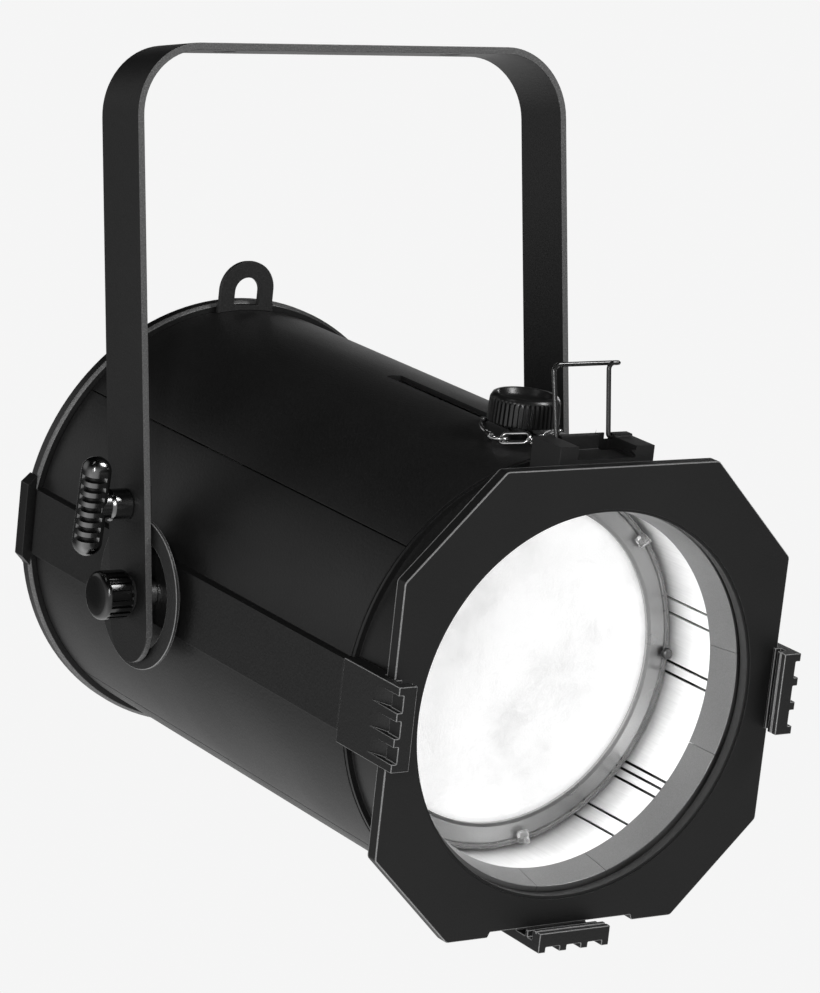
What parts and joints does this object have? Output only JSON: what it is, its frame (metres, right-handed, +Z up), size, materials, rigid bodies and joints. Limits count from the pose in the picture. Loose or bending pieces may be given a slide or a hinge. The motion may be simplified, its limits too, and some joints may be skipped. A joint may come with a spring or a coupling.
{
  "type": "theatre fresnel spotlight",
  "caption": "Black theatre spotlight with a flat-bar yoke, tilting can body, sliding focus lens, octagonal colour frame, wire latch and rear control panel.",
  "frame": {"origin": "middle of the yoke top bar on its outer face, between the two clamp holes", "axes": "+Z up, away from the light towards the bar it hangs from; the lens faces -Y; +X is to the right when looking along +Y"},
  "size_m": [0.322, 0.4313, 0.4813],
  "materials": {
    "satin_black_paint": "fine satin black powder coat",
    "cover_black_paint": "slightly grainy satin black powder coat on aluminium",
    "frame_black_paint": "satin black folded light sheet",
    "black_plastic": "matt moulded black plastic",
    "gloss_black_plastic": "glossy moulded black plastic",
    "black_wire": "gloss black spring wire",
    "bright_steel": "bright turned steel",
    "zinc_screws": "blackened screw heads",
    "polished_aluminium": "polished reflector sheet",
    "grey_aluminium": "grey satin anodised",
    "bare_aluminium": "brushed aluminium",
    "lens_glass": "frosted white glass",
    "emitter_yellow": "phosphor over the emitter",
    "circuit_green": "solder-masked circuit board",
    "supply_case": "ribbed aluminium case",
    "ring_black_paint": "satin black paint on cast aluminium",
    "display_dark": "dark display glass",
    "fibre": "brown pressed fibre"
  },
  "bodies": {
    "yoke": {"yoke": "satin_black_paint", "brake_jaw": "black_plastic"},
    "head": {"bottom_cover": "cover_black_paint", "bulkhead_plate": "bare_aluminium", "cover_screws": "zinc_screws", "data_in_connector": "black_plastic", "data_out_connector": "black_plastic", "display_window": "display_dark", "driver_board": "circuit_green", "fan_housing": "black_plastic", "fibre_washers": "fibre", "frame_holder_bottom": "black_plastic", "frame_holder_left": "black_plastic", "frame_holder_right": "black_plastic", "friction_rings": "satin_black_paint", "front_bezel": "grey_aluminium", "front_ring": "ring_black_paint", "fuse_holder": "black_plastic", "guide_rods": "bright_steel", "heat_sink": "bare_aluminium", "knob_collar": "black_plastic", "lanyard_cable": "bright_steel", "lanyard_chain": "bright_steel", "lanyard_clasp": "bright_steel", "lanyard_ring": "bright_steel", "lanyard_sleeve": "bright_steel", "led_board": "circuit_green", "led_emitter": "emitter_yellow", "mirror_liner": "polished_aluminium", "panel_screws": "zinc_screws", "pivot_bolt_right": "bright_steel", "pivot_bosses": "bright_steel", "pivot_stud_left": "bright_steel", "pivot_washer": "bright_steel", "power_in_connector": "black_plastic", "power_out_connector": "black_plastic", "power_supply": "supply_case", "rear_cap": "ring_black_paint", "rear_panel": "ring_black_paint", "reflector_cup": "polished_aluminium", "safety_eye": "satin_black_paint", "side_casting_left": "cover_black_paint", "side_casting_right": "cover_black_paint", "top_cover": "cover_black_paint", "top_tray": "black_plastic"},
    "tilt_lock": {"tilt_lock_handle": "gloss_black_plastic", "tilt_lock_bolt": "bright_steel"},
    "pivot_clamp": {"pivot_knob": "gloss_black_plastic"},
    "carriage": {"lens_carriage": "bare_aluminium", "lens": "lens_glass", "focus_stud": "bright_steel"},
    "focus_grip": {"focus_knob": "gloss_black_plastic"},
    "latch": {"wire_latch": "black_wire"},
    "accessory_frame": {"colour_frame": "frame_black_paint"},
    "fan": {"fan_rotor": "black_plastic"},
    "button_1": {"menu_button_1": "black_plastic"},
    "button_2": {"menu_button_2": "black_plastic"},
    "button_3": {"menu_button_3": "black_plastic"},
    "button_4": {"menu_button_4": "black_plastic"}
  },
  "joints": [
    {"name": "head_tilt", "type": "hinge", "parent": "yoke", "child": "head", "pos_m": [0, 0, -0.3], "axis": [1, 0, 0], "range_deg": [-102.2, 107.8]},
    {"name": "tilt_lock_turn", "type": "hinge", "parent": "yoke", "child": "tilt_lock", "pos_m": [-0.155, 0, -0.251], "axis": [-1, 0, 0], "range_deg": [-90, 90]},
    {"name": "pivot_knob_turn", "type": "hinge", "parent": "head", "child": "pivot_clamp", "pos_m": [-0.15, 0, -0.3], "axis": [-1, 0, 0], "range_deg": [0, 270]},
    {"name": "focus_slide", "type": "slide", "parent": "head", "child": "carriage", "axis": [0, 0.9774, 0.2113], "range_m": [0, 0.12]},
    {"name": "focus_lock", "type": "hinge", "parent": "carriage", "child": "focus_grip", "pos_m": [0, -0.17815, -0.19528], "axis": [0, -0.2113, 0.9774], "range_deg": [0, 90]},
    {"name": "latch_swing", "type": "hinge", "parent": "head", "child": "latch", "pos_m": [0, -0.22992, -0.21139], "axis": [1, 0, 0], "range_deg": [-20, 100]},
    {"name": "frame_lift", "type": "slide", "parent": "head", "child": "accessory_frame", "axis": [0, -0.2113, 0.9774], "range_m": [0, 0.15]},
    {"name": "fan_spin", "type": "hinge", "parent": "head", "child": "fan", "pos_m": [0, 0.08797, -0.28098], "axis": [0, 0.9774, 0.2113], "continuous": true},
    {"name": "button_1_press", "type": "slide", "parent": "head", "child": "button_1", "axis": [0, -0.9774, -0.2113], "range_m": [0, 0.0015], "stiffness_N_per_m": 300, "springref_m": -0.001},
    {"name": "button_2_press", "type": "slide", "parent": "head", "child": "button_2", "axis": [0, -0.9774, -0.2113], "range_m": [0, 0.0015], "stiffness_N_per_m": 300, "springref_m": -0.001},
    {"name": "button_3_press", "type": "slide", "parent": "head", "child": "button_3", "axis": [0, -0.9774, -0.2113], "range_m": [0, 0.0015], "stiffness_N_per_m": 300, "springref_m": -0.001},
    {"name": "button_4_press", "type": "slide", "parent": "head", "child": "button_4", "axis": [0, -0.9774, -0.2113], "range_m": [0, 0.0015], "stiffness_N_per_m": 300, "springref_m": -0.001}
  ]
}
